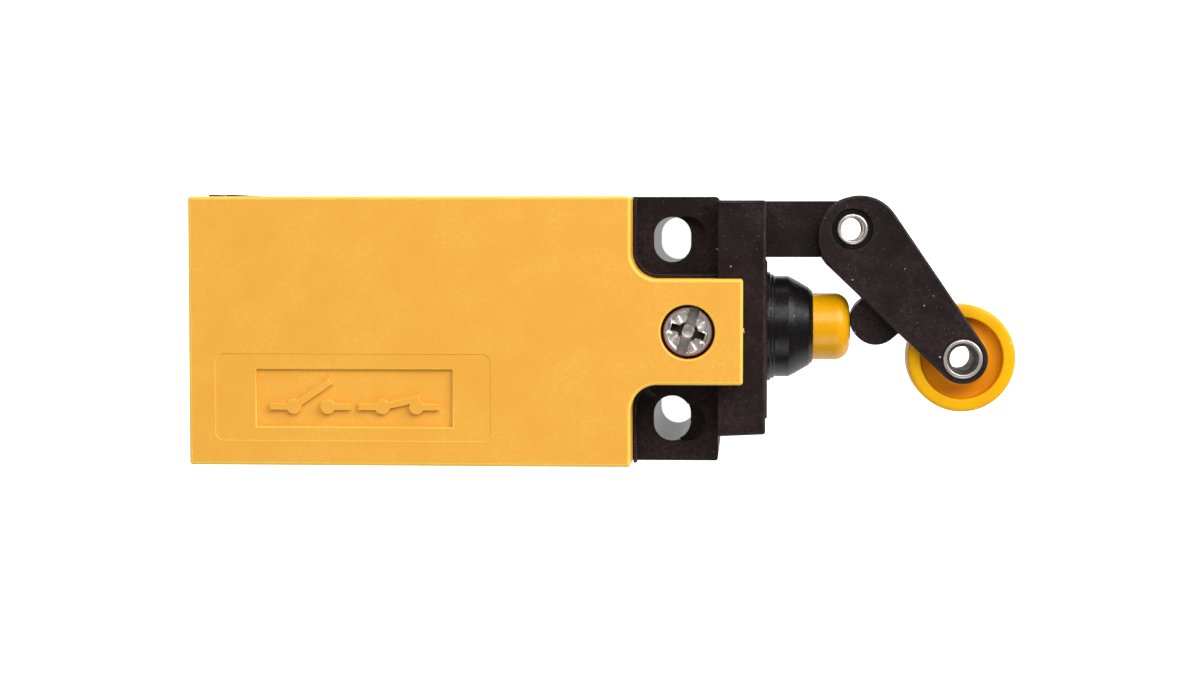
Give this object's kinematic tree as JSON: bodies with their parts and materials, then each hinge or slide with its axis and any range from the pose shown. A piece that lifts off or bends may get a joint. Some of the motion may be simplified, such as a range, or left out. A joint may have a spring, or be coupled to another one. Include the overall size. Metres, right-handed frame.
{
  "type": "roller lever limit switch",
  "caption": "Plastic position switch whose roller lever presses a spring-loaded plunger that opens one contact and closes another.",
  "frame": {"origin": "midway between the two fixing slots, on the mounting face", "axes": "+Z out of the mounting face towards the cover, +X along the housing towards the head and roller, +Y across, towards the lever's pivot"},
  "size_m": [0.0966, 0.0316, 0.0335],
  "materials": {
    "black_plastic": "fine satin moulding",
    "cover_yellow": "satin, fine-grained moulding",
    "gasket_rubber": "matt moulded rubber",
    "nickel_steel": "bright nickel plating",
    "brass": "turned",
    "boot_rubber": "smooth, slightly shiny",
    "plunger_orange": "smooth, waxy gloss",
    "roller_yellow": "smooth moulding",
    "spring_steel": "drawn wire",
    "block_ivory": "thermoset moulding",
    "carrier_orange": "smooth moulding",
    "contact_copper": "stamped strip",
    "contact_silver": "coined silver"
  },
  "bodies": {
    "housing": {"base_housing": "black_plastic", "threaded_insert": "brass", "head_body": "black_plastic", "head_seal": "gasket_rubber", "rubber_boot": "boot_rubber", "plunger_spring": "spring_steel", "pivot_rivet": "nickel_steel", "contact_block": "block_ivory", "contact_block_lid": "block_ivory", "block_screws": "nickel_steel", "carrier_return_spring": "spring_steel", "nc_fixed_contact_left": "contact_copper", "nc_fixed_contact_right": "contact_copper", "no_fixed_contact_left": "contact_copper", "no_fixed_contact_right": "contact_copper", "fixed_contact_tips": "contact_silver", "terminal_clamps": "nickel_steel", "terminal_screws": "nickel_steel"},
    "cover": {"front_cover": "cover_yellow", "cover_gasket": "gasket_rubber", "cover_screw": "nickel_steel", "cover_screw_retainer": "nickel_steel"},
    "lever": {"roller_lever": "black_plastic", "roller_rivet": "nickel_steel"},
    "roller": {"roller": "roller_yellow"},
    "plunger": {"plunger": "plunger_orange"},
    "carrier": {"contact_carrier": "carrier_orange", "nc_contact_bridge": "contact_copper", "no_contact_bridge": "contact_copper", "bridge_contact_tips": "contact_silver", "nc_contact_spring": "spring_steel", "no_contact_spring": "spring_steel"}
  },
  "joints": [
    {"name": "lever_swing", "type": "hinge", "parent": "housing", "child": "lever", "pos_m": [0.0212, 0.0117, 0.01675], "axis": [0, 0, -1], "range_deg": [0, 17.5], "stiffness_Nm_per_rad": 0.3, "springref_deg": -8.59},
    {"name": "roller_spin", "type": "hinge", "parent": "lever", "child": "roller", "pos_m": [0.03427, -0.00365, 0.01675], "axis": [0, 0, 1], "continuous": true},
    {"name": "plunger_travel", "type": "slide", "parent": "housing", "child": "plunger", "axis": [-1, 0, 0], "range_m": [0, 0.00345], "deforming": ["plunger_spring"]},
    {"name": "carrier_travel", "type": "slide", "parent": "housing", "child": "carrier", "axis": [-1, 0, 0], "range_m": [0, 0.00345], "deforming": ["carrier_return_spring"]},
    {"name": "cover_lift", "type": "slide", "parent": "housing", "child": "cover", "axis": [0, 0, 1], "range_m": [0, 0.02]}
  ],
  "couplings": [
    {"joint": "plunger_travel", "follows": "lever_swing", "m_per_rad": 0.01117},
    {"joint": "carrier_travel", "follows": "lever_swing", "m_per_rad": 0.01117}
  ]
}
